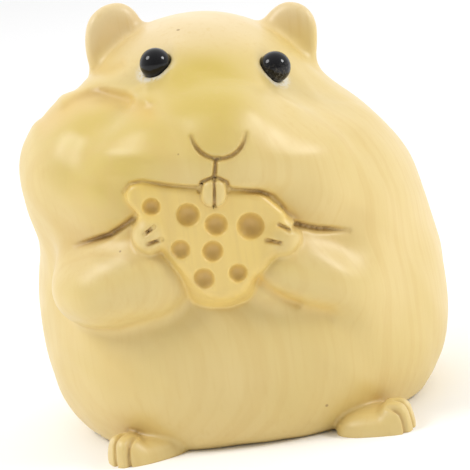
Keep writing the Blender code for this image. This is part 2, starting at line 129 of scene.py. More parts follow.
# The wedge of cheese: its front face's outline before rounding, in the leaning frame's X and Z
CHEESE_OUTLINE = (
    (-16.4, 59.3), (-3, 58.1), (3, 57.9), (9.2, 57.0), (12.6, 54.2), (13.2, 51.8),
    (4.0, 41.0), (2.2, 40.1), (0.4, 40.3), (-1.0, 41.6),
)
CHEESE_CORNER = 3.1
CHEESE_EDGE = 1.6

# Its sides spread out behind the front face, more and more from the higher of two heights to the lower
CHEESE_FRONT, CHEESE_BACK = -45.8, -35.0
CHEESE_FLARE = 0.7
FLARE_FROM, FLARE_TO = 55, 43
CHEESE_HOLES = (
    (-13.7, 57.1, 2.1), (-5.8, 55.4, 2.7), (0.4, 53.3, 2.6), (7.8, 52.9, 3.1),
    (-7.4, 47.6, 2.2), (-0.3, 47.3, 2.4), (-2.2, 41.1, 2.4), (5.3, 42.5, 2.2),
)

# Each hole is part of a ball whose middle stands a little in front of the cheese
HOLE_RISE, HOLE_SPREAD = 0.12, 0.93
HOLE_RIM, CHEESE_FOOT = 0.5, 0.5

# A knife line runs along a path in X and Z over the front. It fades out over its reach, if it has one.
Line = namedtuple("Line", "path width depth reach", defaults=(None,))
NOSE_CENTRE, NOSE_RADIUS = (0.6, 74.1), 6.0
NOSE_FOOT, NOSE_RIGHT, NOSE_LEFT, NOSE_POINTS = radians(270), radians(196), radians(354), 7


def nose_arc(end):
    """Half of the curved line under the nose, from its lowest point outwards."""
    angles = np.linspace(NOSE_FOOT, end, NOSE_POINTS)
    x, z = NOSE_CENTRE
    return tuple((x + NOSE_RADIUS * cos(angle), z + NOSE_RADIUS * sin(angle)) for angle in angles)


FACE_LINES = {
    "lip over the teeth": Line(((-3.4, 60.6), (-2.9, 63), (0, 64.3), (2.6, 63), (3.1, 60.8)), 0.35, 0.6),
    "right of the nose": Line(nose_arc(NOSE_RIGHT), 0.5, 0.9, 9),
    "left of the nose": Line(nose_arc(NOSE_LEFT), 0.5, 0.9, 9.5),
    "split lip": Line(((0.1, 68.0), (-0.2, 63.6)), 0.45, 0.9),
    "gap between the teeth": Line(((-0.2, 63.2), (-0.1, 57.9)), 0.35, 0.8),
    "right lip line": Line(
        ((-3.6, 61.5), (-10, 61.9), (-15.8, 62.7), (-18.4, 62), (-19.8, 59.8)), 0.5, 0.6, 19
    ),
    "left lip line": Line(((3.2, 61.3), (9.5, 60.6), (12.7, 59.3), (15.4, 56.4)), 0.5, 0.6, 15),
    "right cheek crease": Line(((-17.8, 53.6), (-22.8, 49.2), (-31.5, 45)), 0.7, 1.0, 16),
    "left cheek crease": Line(((17.5, 52.6), (22.5, 51.2), (30, 50.3)), 0.7, 1.0, 14),
    "right upper slit": Line(((-15.1, 51.3), (-13.2, 52.8)), 0.4, 1.2),
    "right lower slit": Line(((-14.4, 49.1), (-11.6, 50.0)), 0.4, 1.2),
    "left upper slit": Line(((16.2, 52.2), (14.0, 53.4)), 0.4, 1.0),
    "left lower slit": Line(((14.4, 49.5), (11.4, 49.9)), 0.4, 1.2),
}
FRONT_FROM, FRONT_FADE = -20, 4
FADING_SHARE = 0.5

# A soft stroke of the gouge follows a path over the skin. A negative depth leaves a ridge.
Stroke = namedtuple("Stroke", "path width depth")
SOFT_STROKES = {
    "right brow": Stroke(
        ((-34, 76.5), (-28.8, 79.4), (-24.2, 80.2), (-19.5, 80), (-15.5, 79.4)), width=2.2, depth=-0.7
    ),
    "valley over the right cheek": Stroke(
        ((-38.5, 71), (-31.2, 76), (-25.6, 77.4), (-20.3, 77.2), (-14.4, 76.8)), width=1.9, depth=0.8
    ),
    "shadow under the right ear": Stroke(((-27, 81.3), (-23.5, 82.7), (-20.7, 84.2)), 1.2, 0.5),
    "left brow": Stroke(((15.4, 79.4), (16.8, 78.5), (18.1, 76.9)), 1.9, -0.3),
    "inner side of the right eye": Stroke(((-8.6, 89), (-8.8, 86.4), (-10, 84)), 2.1, -0.6),
    "inner side of the left eye": Stroke(((9.2, 88), (9.6, 85), (11.3, 82.2)), 2.1, -0.6),
}

# Grooves between the toes: where each crosses the front of the foot in X and Y, and its heading
TOE_GROOVES = ((-33.3, -37.8, -33), (-30.4, -39.6, -33), (31.8, -43.4, 60), (33.5, -40.5, 60))
TOE_GROOVE_WIDTH, TOE_GROOVE_DEPTH = 0.5, 0.8
TOE_GROOVE_RUN, TOE_GROOVE_FADE = 4.5, 2
TOE_GROOVE_TOP = 8.5

# The strokes all lie above the first height and fade out backwards; the feet lie below the second height
STROKES_ABOVE, FEET_BELOW = 62, 12
STROKES_FROM, STROKES_FADE = 0, 6

# The underside is planed flat; just above it the rim of the belly is eased
RIM_ROUNDING = 2.5
RIM_BELOW = 0.4

# Fineness of the skin, in metres, and how often its vertices are moved onto the wood
SKIN_STEP = FIGURE_HEIGHT / 112
PASSES, DIVIDED_PASSES, LAST_PASSES = 6, 3, 2

# Faces are halved twice: where neighbours bend by more than these angles, and in the knife lines.
# Those that are left with more corners than the largest face are cut into triangles.
BENDS = (radians(13), radians(18))
LINE_EDGE = 0.02
LARGEST_FACE = 4

# Vertices this close to the ground, in metres, count as lying on it
PLANE_MERGE = 1e-7

# Finer work, in shares of the height. A ripple is a wave across the wood, bent by a wave along it, and has
# a phase. The skin lies a little inside the part's solid, so that no ripple stands out past it.
BEAD_RADIUS = EYE_DIAMETER / 2 / SHARE
SOCKET_SLACK = 0.03
SOCKET_RIM = 0.25
SOCKET_SPAN = 3 * BEAD_RADIUS
RIPPLE_WAVES = (
    ((0.31, 0.12, 0.22), (0.11, 0.27, 0.08), 0.4),
    ((-0.14, 0.36, 0.19), (0.21, 0.05, 0.16), 2.1),
    ((0.52, -0.23, 0.41), (0.18, 0.22, 0.31), 4.0),
)
RIPPLE_SIZES = (0.09, 0.08, 0.05)
RIPPLE_BEND = 1.3
SKIN_INSET = 0.12
SLOPE_REACH = 0.12
LEAST_STEEPNESS = 0.05
LEAST_LENGTH = 1e-9
LONGEST_MOVE = 1.0
CREASE_REACH = 0.9
VALLEY_REACH = 4.0

# The fold under the left arm: deep beside the cheese, then wide and shallow, with painted shade along it
SKIN_STROKES = (
    Stroke(((9.7, 40.6), (12.4, 38.4), (15.7, 36.3), (18.5, 35)), 1.3, 0.8),
    Stroke(((14.5, 37), (19.1, 34.7), (25.5, 32.8)), 2.2, 0.45),
)

# How much painted shade lies in the cuts; a line that isn't named here is as dark as they come
LINE_SHADE = {
    "lip over the teeth": 0.8, "right lip line": 0.4, "left lip line": 0.4, "left cheek crease": 0.45,
    "right of the nose": 0.85, "left of the nose": 0.85, "left upper slit": 0.4, "left lower slit": 0.4,
}
TOE_SHADE = 0.3
HOLE_DEPTH_SHARE = 0.8

# The ring of glue round a bead: its outer edge and its fade in bead radii, and how far up the sides it shows
GLUE_REACH, GLUE_FADE, GLUE_HIGHER = 1.6, 0.3, 0.3

# Growth rings and fibres, in metres. The tree's middle lies behind the figure, on its left.
PITH = (0.045, 0.07, 0.0)
RING_WIDTH = 0.0013
RING_WOBBLE = 0.0012
WOBBLE_STRETCH, WOBBLE_SCALE = (1, 1, 0.4), 45
RING_HEIGHTS = (0.046, 0.038)
RING_EDGES = (0.42, 0.68)
FIBRE_STRETCH, FIBRE_SCALE = (1, 1, 0.06), 1500
FIBRE_EDGES = (0.5, 0.8)

# Where the wood is warmer or paler, in metres: the face, one cheek, broad clouds and the top of the head,
# whose paleness is partly painted light from above
FACE_MIDDLE = (-0.0016, -0.018, 0.0438)
FACE_REACH = (0.0145, 0.0045)
FACE_NARROWING = (1.6, 1, 1)
CHEEK_MIDDLE = (-0.0125, -0.0195, 0.040)
CHEEK_REACH = (0.013, 0.005)
CHEEK_WARMTH = 0.7
CLOUD_SCALE, CLOUD_EDGES, CLOUD_WARMTH = 60, (0.3, 0.75), 0.2
TOP_PALE_AND_LIT_HEIGHTS = (0.0475, 0.0525)

# How sheltered a place is where its painted shade begins, and where it is full
VALLEY_SHADE_EDGES = (0.02, 0.45)
CREASE_SHADE_EDGES = (0.25, 0.9)

# How strongly each tint is laid on; the valley, stroke, crease, hole and cut tints are painted shade, and the
# top tint is partly painted light from above
TOP_PALE_AND_LIT_STRENGTH = 0.7
CHEESE_STRENGTH = 0.5
RING_STRENGTH = 0.28
FIBRE_STRENGTH = 0.3
VALLEY_SHADE_STRENGTH = 0.1
STROKE_SHADE_STRENGTH = 0.65
CREASE_SHADE_STRENGTH = 0.5
HOLE_SHADE_STRENGTH = 0.38
CUT_SHADE_STRENGTH = 0.7
FLECK_STRENGTH = 0.7

# Linear colours. The valley, crease, hole and cut colours are painted shade, the cut colour also serves the
# wood's dark flecks; the top colour is partly painted light from above.
WOOD_PALE = (0.71, 0.54, 0.215)
WOOD_WARM = (0.56, 0.41, 0.045)
WOOD_RING = (0.64, 0.44, 0.14)
WOOD_VALLEY_SHADE = (0.68, 0.43, 0.09)
WOOD_CREASE_SHADE = (0.42, 0.23, 0.05)
WOOD_CUT_SHADE_AND_FLECK = (0.28, 0.14, 0.03)
WOOD_PALE_AND_LIT_TOP = (0.74, 0.58, 0.33)
WOOD_CHEESE = (0.83, 0.58, 0.13)
WOOD_HOLE_SHADE = (0.47, 0.24, 0.04)
GLUE_DUST = (0.75, 0.68, 0.52)
BEAD_BLACK = (0.006, 0.006, 0.007)
BEAD_DUST = (0.07, 0.065, 0.055)

# Dark flecks in the wood: middle and radius, in metres
FLECKS = (
    ((0.00846, -0.02200, 0.00426), 0.00030), ((-0.00353, -0.00762, 0.05202), 0.00030),
    ((-0.00543, -0.02621, 0.03937), 0.00022), ((-0.01428, -0.02318, 0.02789), 0.00022),
)

# The grains that the dried glue is made of
GLUE_SCALE, GLUE_EDGES = 1800, (0.35, 0.5)

# The polish on the wood, and its fine grain
SHEEN_ROUGHNESS, SHEEN_CHANGE, SHEEN_SCALE = 0.42, 0.16, 400
COAT_WEIGHT, COAT_ROUGHNESS = 0.5, 0.36
GRAIN_SCALE, GRAIN_STRENGTH, GRAIN_HEIGHT = 900, 0.2, 0.0001

# The beads; dust lies on them from the first height down to the second
BEAD_SEGMENTS, BEAD_RINGS = 64, 32
BEAD_MIDDLE = 0.0466
DUST_HEIGHTS = (BEAD_MIDDLE + EYE_DIAMETER / 6, BEAD_MIDDLE - EYE_DIAMETER / 4)
DUST_SCALE, DUST_EDGES = 3200, (0.5, 0.62)
BEAD_ROUGHNESS, DUST_ROUGHNESS = 0.1, 0.5
BEAD_SPECULAR = 0.3

# Studio, in metres; powers in watts
FLOOR_SIZE = 3.0
FLOOR_COLOUR = (0.98, 0.98, 0.98)
FLOOR_ROUGHNESS = 0.9
TENT_COLOUR = (1.0, 1.0, 1.0)
TENT_FRONT, TENT_BACK = 0.35, 1.35
FIGURE_MIDDLE = (0, 0, FIGURE_HEIGHT / 2)
SOFTBOXES = {
    "left softbox": ((-0.40, -0.12, 0.46), 0.24, 1.5),
    "right softbox": ((0.48, -0.15, 0.36), 0.18, 1.4),
}
CAMERA_ELEVATION = 12
CAMERA_ROLL = 8
CAMERA_DISTANCE = 0.300
CAMERA_AIM = (0, 0, 0.41 * FIGURE_HEIGHT)
SENSOR = 36.0
CAMERA_LENS = 172.3
CAMERA_CLIP = 0.01


def turned(turn):
    """The rotation matrix for degrees about X, then Y, then Z."""
    x, y, z = (radians(angle) for angle in turn)
    about_x = np.array([[1, 0, 0], [0, cos(x), -sin(x)], [0, sin(x), cos(x)]])
    about_y = np.array([[cos(y), 0, sin(y)], [0, 1, 0], [-sin(y), 0, cos(y)]])
    about_z = np.array([[cos(z), -sin(z), 0], [sin(z), cos(z), 0], [0, 0, 1]])
    return about_z @ about_y @ about_x


LEANING = turned((0, np.degrees(LEAN), 0))


def into_leaning(points):
    """Points of the figure in the frame of the leaning head."""
    return (points - LEAN_PIVOT) @ LEANING + LEAN_PIVOT


def out_of_leaning(point):
    """A point of the leaning head in the frame of the figure."""
    return LEANING @ (np.array(point, float) - LEAN_PIVOT) + LEAN_PIVOT


def depth_in(form, points):
    """About how far each point is outside the form; negative inside."""
    radii = np.array(form.radii, float)
    local = (points - np.array(form.centre, float)) @ turned(form.turn)
    across = np.abs(local) / radii + OFF_MIDDLE
    n = form.squareness
    size = (across**n).sum(1) ** (1 / n)
    slope = np.sqrt(((across ** (n - 1) / radii) ** 2).sum(1)) / size ** (n - 1)
    return (size - 1) / slope


def flow(first, second, blend):
    """The union of two forms, with a fillet about as wide as blend."""
    share = np.clip(0.5 + 0.5 * (second - first) / blend, 0, 1)
    return second * (1 - share) + first * share - blend * share * (1 - share)


def scoop(solid, cutter, blend):
    """The solid less the cutter, with a softened rim."""
    return -flow(-solid, cutter, blend)


def flowing(forms, points):
    """The union of a group of forms, each flowing into those before it."""
    solid = None
    for form in forms.values():
        depth = depth_in(form, points)
        solid = depth if solid is None else flow(solid, depth, form.blend)
    return solid


def eased(values, start, end):
    """A smooth step from 0 at start to 1 at end."""
    share = np.clip((values - start) / (end - start), 0, 1)
    return share**2 * (3 - 2 * share)


def path_distance(points, path):
    """Distance to the nearest stretch of a path."""
    nearest = np.full(len(points), np.inf)
    for start, end in zip(path, path[1:]):
        run = np.subtract(end, start)
        along = np.clip((points - start) @ run / (run @ run), 0, 1)
        nearest = np.minimum(nearest, np.linalg.norm(points - start - along[:, None] * run, axis=1))
    return nearest


def outline_distance(x, z, outline):
    """Distance to a closed outline, negative inside it."""
    closed = [*outline, outline[0]]
    inside = np.zeros(len(x), bool)
    for (x0, z0), (x1, z1) in zip(closed, closed[1:]):
        if z0 == z1:
            continue
        crossing = x0 + (x1 - x0) * (z - z0) / (z1 - z0)
        inside ^= ((z0 > z) != (z1 > z)) & (x < crossing)
    return np.where(inside, -1, 1) * path_distance(np.stack((x, z), axis=1), closed)


def cheese(points):
    """How far each point is outside the wedge of cheese, with its holes; negative inside."""
    x, y, z = points.T
    middle, half = (CHEESE_FRONT + CHEESE_BACK) / 2, (CHEESE_BACK - CHEESE_FRONT) / 2
    flare = CHEESE_FLARE * eased(z, FLARE_FROM, FLARE_TO) * (y - CHEESE_FRONT)
    around = outline_distance(x, z, CHEESE_OUTLINE) - CHEESE_CORNER - flare + CHEESE_EDGE
    through = np.abs(y - middle) - half + CHEESE_EDGE
    beyond, within = np.hypot(np.maximum(around, 0), np.maximum(through, 0)), np.maximum(around, through)
    wedge = beyond + np.minimum(within, 0)
    wedge -= CHEESE_EDGE
    for hole_x, hole_z, radius in CHEESE_HOLES:
        centre = np.array([hole_x, CHEESE_FRONT - HOLE_RISE * radius, hole_z])
        wedge = scoop(wedge, np.linalg.norm(points - centre, axis=1) - HOLE_SPREAD * radius, HOLE_RIM)
    return wedge


def in_line(line, leaning):
    """How far down in a knife line each point is: 1 on its bed, 0 away from it."""
    distance = path_distance(leaning[:, ::2], line.path)
    share = np.exp(-((distance / line.width) ** 2)) * np.clip((FRONT_FROM - leaning[:, 1]) / FRONT_FADE, 0, 1)
    if line.reach:
        start_x, start_z = line.path[0]
        from_start = np.hypot(leaning[:, 0] - start_x, leaning[:, 2] - start_z)
        share *= np.clip((line.reach - from_start) / (FADING_SHARE * line.reach), 0, 1)
    return share


def in_groove(groove, points):
    """How far down in a groove between two toes each point is: 1 on its bed, 0 away from it."""
    x0, y0, heading = groove
    run, rise = sin(radians(heading)), -cos(radians(heading))
    dx, dy = points[:, 0] - x0, points[:, 1] - y0
    distance, along = dx * rise - dy * run, dx * run + dy * rise
    within = np.clip((along + TOE_GROOVE_RUN) / TOE_GROOVE_FADE, 0, 1)
    within *= np.clip(TOE_GROOVE_TOP - points[:, 2], 0, 1)
    return np.exp(-((distance / TOE_GROOVE_WIDTH) ** 2)) * within


def in_stroke(stroke, leaning):
    """How near each point is to the middle of a soft stroke, from 0 to 1."""
    fade = np.clip((STROKES_FROM - leaning[:, 1]) / STROKES_FADE, 0, 1)
    return np.exp(-((path_distance(leaning[:, ::2], stroke.path) / stroke.width) ** 2)) * fade


def with_strokes(solid, leaning):
    for stroke in SOFT_STROKES.values():
        solid = solid + stroke.depth * in_stroke(stroke, leaning)
    return solid


def with_front(solid, leaning):
    """Adds what only the front has: cheese, palms, teeth and the knife lines."""
    solid = flow(solid, cheese(leaning), CHEESE_FOOT)
    for form in (RIGHT_PALM, LEFT_PALM, TEETH):
        solid = flow(solid, depth_in(form, leaning), form.blend)
    for line in FACE_LINES.values():
        solid = solid + line.depth * in_line(line, leaning)
    return solid


def with_feet(solid, points):
    for form in FEET.values():
        solid = flow(solid, depth_in(form, points), form.blend)
    for groove in TOE_GROOVES:
        solid = solid + TOE_GROOVE_DEPTH * in_groove(groove, points)
    return solid


def wood(points):
    """How far each point, in shares of the height, is outside the carved wood; negative inside."""
    leaning = into_leaning(points)
    fold = ARM_FOLD + (ARM_MELT - ARM_FOLD) * eased(leaning[:, 0], MELT_FROM, MELT_TO)
    body = flow(flowing(TRUNK, points), flowing(ARMS, leaning), fold)
    head = flowing(HEAD, leaning)
    for hollow in EYE_HOLLOWS.values():
        head = scoop(head, depth_in(hollow, leaning), hollow.blend)
    for side, ear in EARS.items():
        hollow = EAR_HOLLOWS[side]
        head = flow(head, scoop(depth_in(ear, leaning), depth_in(hollow, leaning), hollow.blend), ear.blend)
    softness = np.maximum(
        eased(np.abs(leaning[:, 0]), CREASE_FROM, CREASE_TO), eased(leaning[:, 1], CREASE_FRONT, CREASE_BACK)
    )
    solid = flow(body, head, CREASE_SHARP + (CREASE_SOFT - CREASE_SHARP) * softness)
    solid = scoop(solid, points[:, 2] + RIM_BELOW, RIM_ROUNDING)
    for chosen, finished, where in (
        (leaning[:, 2] > STROKES_ABOVE, with_strokes, leaning),
        (leaning[:, 1] < FRONT_FROM, with_front, leaning),
        (points[:, 2] < FEET_BELOW, with_feet, points),
    ):
        solid[chosen] = finished(solid[chosen], where[chosen])
    return solid


# Finer work on the wood


def ripples(points):
    """The slight unevenness that hand sanding leaves, as a height in shares."""
    height = np.zeros(len(points))
    for (across, along, phase), size in zip(RIPPLE_WAVES, RIPPLE_SIZES):
        bend = RIPPLE_BEND * np.sin(points @ np.array(along))
        height += size * np.sin(points @ np.array(across) + phase + bend)
    return height


def fine_wood(points):
    """The wood with its fine strokes, sockets and ripples, as a distance outside it in shares."""
    solid = wood(points) + ripples(points) + SKIN_INSET
    for stroke in SKIN_STROKES:
        solid = solid + stroke.depth * in_stroke(stroke, into_leaning(points))
    for centre in EYE_CENTRES:
        distance = np.linalg.norm(points - out_of_leaning(centre), axis=1)
        near = distance < SOCKET_SPAN
        solid[near] = scoop(solid[near], distance[near] - BEAD_RADIUS - SOCKET_SLACK, SOCKET_RIM)
    return solid


def slope_of(points, reach):
    """The direction in which fine_wood() rises fastest, from four samples around each point."""
    corners = np.array([(1, 1, 1), (1, -1, -1), (-1, 1, -1), (-1, -1, 1)], float)
    slope = sum(corner * fine_wood(points + reach * corner)[:, None] for corner in corners) / (4 * reach)
    return slope / np.maximum((slope**2).sum(1, keepdims=True), LEAST_STEEPNESS)


def evened(points, ends):
    """Each point moved half way to the middle of its neighbours, so that the skin stays even."""
    first, second = ends.T
    total, count = np.zeros_like(points), np.zeros(len(points))
    for here, there in ((first, second), (second, first)):
        count += np.bincount(here, minlength=len(points))
        for axis in range(3):
            total[:, axis] += np.bincount(here, weights=points[there, axis], minlength=len(points))
    return (points + total / count[:, None]) / 2


def in_any_line(points):
    """How much painted shade each point takes from lying in a knife line or a toe groove: 1 at the bottom of
    the darkest.
    """
    leaning, deepest = into_leaning(points), np.zeros(len(points))
    front, low = leaning[:, 1] < FRONT_FROM, points[:, 2] < FEET_BELOW
    for name, line in FACE_LINES.items():
        dark = LINE_SHADE.get(name, 1.0)
        deepest[front] = np.maximum(deepest[front], dark * in_line(line, leaning[front]))
    for groove in TOE_GROOVES:
        deepest[low] = np.maximum(deepest[low], TOE_SHADE * in_groove(groove, points[low]))
    return deepest


def in_stroke_shade(points):
    """How near each point is to the middle of a soft stroke that was cut, from 0 to 1, which sets the painted
    shade along it.
    """
    leaning = into_leaning(points)
    cut = [stroke for stroke in (*SOFT_STROKES.values(), *SKIN_STROKES) if stroke.depth > 0]
    return np.maximum.reduce([min(1, stroke.depth) * in_stroke(stroke, leaning) for stroke in cut])


def in_any_hole(points):
    """How far down in a hole of the cheese each point is: 0 at its rim, 1 at its bottom, which sets its
    painted shade.
    """
    x, y, z = into_leaning(points).T
    deepest = np.zeros(len(points))
    for hole_x, hole_z, radius in CHEESE_HOLES:
        inside = (np.hypot(x - hole_x, z - hole_z) < radius) & (np.abs(y - CHEESE_FRONT) < radius)
        deepest[inside] = np.clip((y[inside] - CHEESE_FRONT) / (HOLE_DEPTH_SHARE * radius), 0, 1)
    return deepest


def glued(points):
    """Where glue shows: a ring close round each bead, from 0 to 1, strongest on its lower side."""
    leaning, most = into_leaning(points), np.zeros(len(points))
    for centre in EYE_CENTRES:
        away = leaning - centre
        distance = np.linalg.norm(away, axis=1)
        below = np.clip(-away[:, 2] / distance + GLUE_HIGHER, 0, 1)
        most = np.maximum(most, np.clip((GLUE_REACH - distance / BEAD_RADIUS) / GLUE_FADE, 0, 1) * below)
    return most


def places(mesh):
    """Where the vertices are, in shares of the height."""
    flat = np.empty(len(mesh.vertices) * 3)
    mesh.vertices.foreach_get("co", flat)
    return flat.reshape(-1, 3) / SHARE


def settle(mesh, passes):
    """Moves the skin's vertices onto the carved surface, evening them between the first passes."""
    ends = np.empty(len(mesh.edges) * 2, int)
    mesh.edges.foreach_get("vertices", ends)
    points = places(mesh)
    for step in range(passes):
        if step < passes - LAST_PASSES:
            points = evened(points, ends.reshape(-1, 2))
        move = slope_of(points, SLOPE_REACH) * fine_wood(points)[:, None]
        length = np.linalg.norm(move, axis=1, keepdims=True)
        points = points - move * np.minimum(1, LONGEST_MOVE / np.maximum(length, LEAST_LENGTH))
    mesh.vertices.foreach_set("co", (points * SHARE).ravel())
    mesh.update()


def divided(mesh, bend):
    """Halves the faces that lie in a knife line or where the skin bends sharply."""
    in_cut = in_any_line(places(mesh)) > LINE_EDGE
    work = bmesh.new()
    work.from_mesh(mesh)
    faces = set()
    for edge in work.edges:
        if len(edge.link_faces) == 2 and edge.calc_face_angle() > bend:
            for end in edge.verts:
                faces.update(end.link_faces)
    for vert in work.verts:
        if in_cut[vert.index]:
            faces.update(vert.link_faces)
    edges = {edge for face in faces for edge in face.edges}
    bmesh.ops.subdivide_edges(work, edges=list(edges), cuts=1, use_grid_fill=True)
    bmesh.ops.triangulate(work, faces=[face for face in work.faces if len(face.verts) > LARGEST_FACE])
    work.to_mesh(mesh)
    work.free()


def shaped(obj):
    """Replaces an object's mesh with the result of its modifiers."""
    mesh = bpy.data.meshes.new_from_object(obj.evaluated_get(bpy.context.evaluated_depsgraph_get()))
    obj.modifiers.clear()
    obj.data = mesh


def plane_underside(mesh):
    """Cuts everything below the ground away and closes the cut with one flat face."""
    work = bmesh.new()
    work.from_mesh(mesh)
    everything = work.verts[:] + work.edges[:] + work.faces[:]
    cut = bmesh.ops.bisect_plane(
        work, geom=everything, plane_co=(0, 0, 0), plane_no=(0, 0, 1), dist=PLANE_MERGE, clear_inner=True
    )
    rim = [part for part in cut["geom_cut"] if isinstance(part, bmesh.types.BMEdge)]
    bmesh.ops.triangle_fill(work, edges=rim, use_beauty=True)
    bmesh.ops.recalc_face_normals(work, faces=work.faces[:])
    work.to_mesh(mesh)
    work.free()


def attribute(mesh, name, values):
    made = mesh.attributes.new(name, "FLOAT", "POINT")
    made.data.foreach_set("value", values.astype(np.float32))


def shelter(points, outward, reach):
    """How far the wood around closes in on each point: 0 on a flat or raised place, 1 deep in a crease."""
    return np.clip(1 - fine_wood(points + outward * reach) / reach, 0, 1)


def mark_colours(mesh):
    """Stores what the wood's colour needs at each vertex: cuts, cut strokes, holes, glue, cheese, and how
    sheltered it lies; the cuts, strokes, holes and sheltered places take painted shade.
    """
    points = places(mesh)
    rise = slope_of(points, SLOPE_REACH)
    outward = rise / np.maximum(np.linalg.norm(rise, axis=1, keepdims=True), LEAST_LENGTH)
    attribute(mesh, "cut", in_any_line(points))
    attribute(mesh, "stroke", in_stroke_shade(points))
    attribute(mesh, "hole", in_any_hole(points))
    attribute(mesh, "glue", glued(points))
    attribute(mesh, "cheese", np.clip(1 - cheese(into_leaning(points)), 0, 1))
    attribute(mesh, "crease", shelter(points, outward, CREASE_REACH))
    near, far = (shelter(points, outward, reach) for reach in (VALLEY_REACH, 2 * VALLEY_REACH))
    attribute(mesh, "valley", (near + far) / 2)


def carved_wood():
    obj = bpy.data.objects.new("carved_hamster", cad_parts["carved_figure"].data.copy())
    bpy.context.scene.collection.objects.link(obj)
    obj.data.materials.clear()
    remesh = obj.modifiers.new("even skin", "REMESH")
    remesh.mode = "VOXEL"
    remesh.voxel_size = SKIN_STEP
    shaped(obj)
    settle(obj.data, PASSES)
    for bend in BENDS:
        divided(obj.data, bend)
        settle(obj.data, DIVIDED_PASSES)
    mark_colours(obj.data)
    plane_underside(obj.data)
    obj.data.shade_smooth()
    obj.data.materials.append(boxwood())
    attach(obj, "root")
    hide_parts("carved_figure")


def bead(name, centre):
    """A round glass bead, whole, in its socket."""
    bpy.ops.mesh.primitive_uv_sphere_add(
        segments=BEAD_SEGMENTS, ring_count=BEAD_RINGS, radius=EYE_DIAMETER / 2
    )
    obj = bpy.context.object
    obj.name = name
    obj.data.transform(Matrix.Translation(out_of_leaning(centre) * SHARE))
    obj.data.shade_smooth()
    obj.data.materials.append(black_glass())
    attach(obj, "root")
    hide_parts(name.replace("glass", "eye"))


# Materials


def node(tree, kind, **values):
    made = tree.nodes.new(kind)
    for name, value in values.items():
        setattr(made, name, value)
    return made


def math(tree, operation, first, second=None):
    """A Math node; each operand is a number or an output socket."""
    made = node(tree, "ShaderNodeMath", operation=operation)
    for place, operand in enumerate((first, second)):
        if isinstance(operand, (int, float)):
            made.inputs[place].default_value = operand
        elif operand is not None:
            tree.links.new(operand, made.inputs[place])
    return made.outputs[0]


def ramp(tree, value, low, high):
    """A smooth step of a value from low to high."""
    made = node(tree, "ShaderNodeMapRange", interpolation_type="SMOOTHSTEP")
    made.inputs["From Min"].default_value = low
    made.inputs["From Max"].default_value = high
    tree.links.new(value, made.inputs["Value"])
    return made.outputs[0]


def tinted(tree, under, colour, amount):
    """A colour laid over another by an amount."""
    made = node(tree, "ShaderNodeMix", data_type="RGBA")
    tree.links.new(amount, made.inputs["Factor"])
    if isinstance(under, tuple):
        made.inputs["A"].default_value = (*under, 1)
    else:
        tree.links.new(under, made.inputs["A"])
    made.inputs["B"].default_value = (*colour, 1)
    return made.outputs["Result"]


def noise(tree, place, scale, detail=3.0, roughness=0.5, dimensions="3D"):
    made = node(tree, "ShaderNodeTexNoise", noise_dimensions=dimensions)
    made.inputs["Scale"].default_value = scale
    made.inputs["Detail"].default_value = detail
    made.inputs["Roughness"].default_value = roughness
    tree.links.new(place, made.inputs["W" if dimensions == "1D" else "Vector"])
    return made.outputs[0]


def stretched(tree, place, scale):
    made = node(tree, "ShaderNodeMapping")
    made.inputs["Scale"].default_value = scale
    tree.links.new(place, made.inputs["Vector"])
    return made.outputs[0]


def stored(tree, name):
    """A value that the mesh keeps at each vertex."""
    return node(tree, "ShaderNodeAttribute", attribute_name=name).outputs["Fac"]


def parts_of(tree, vector):
    """The X, Y and Z of a vector."""
    made = node(tree, "ShaderNodeSeparateXYZ")
    tree.links.new(vector, made.inputs[0])
    return made.outputs


def distance_from(tree, place, spot):
    made = node(tree, "ShaderNodeVectorMath", operation="DISTANCE")
    tree.links.new(place, made.inputs[0])
    made.inputs[1].default_value = spot
    return made.outputs["Value"]


def ring_value(tree, place):
    """A value that changes with the distance from the tree's middle, unevenly, as growth rings do."""
    shifted = node(tree, "ShaderNodeVectorMath", operation="SUBTRACT")
    tree.links.new(place, shifted.inputs[0])
    shifted.inputs[1].default_value = PITH
    x, y, _ = parts_of(tree, shifted.outputs[0])
    squared = math(tree, "ADD", math(tree, "POWER", x, 2.0), math(tree, "POWER", y, 2.0))
    wobble = noise(tree, stretched(tree, place, WOBBLE_STRETCH), WOBBLE_SCALE, detail=2)
    radius = math(tree, "ADD", math(tree, "SQRT", squared), math(tree, "MULTIPLY", wobble, RING_WOBBLE))
    return noise(tree, radius, 1 / RING_WIDTH, detail=2, roughness=0.6, dimensions="1D")


def wood_warmth(tree, place):
    """How warm the wood's tone is: most on the face, less on one cheek and in broad clouds elsewhere."""
    from_face = distance_from(tree, stretched(tree, place, FACE_NARROWING), FACE_MIDDLE)
    cheek = ramp(tree, distance_from(tree, place, CHEEK_MIDDLE), *CHEEK_REACH)
    near_cheek = math(tree, "MULTIPLY", cheek, CHEEK_WARMTH)
    face = math(tree, "MAXIMUM", ramp(tree, from_face, *FACE_REACH), near_cheek)
    clouds = ramp(tree, noise(tree, place, CLOUD_SCALE, detail=2), *CLOUD_EDGES)
    cloudy = math(tree, "MULTIPLY", clouds, CLOUD_WARMTH)
    return math(tree, "ADD", cloudy, math(tree, "MULTIPLY", face, 1 - CLOUD_WARMTH))


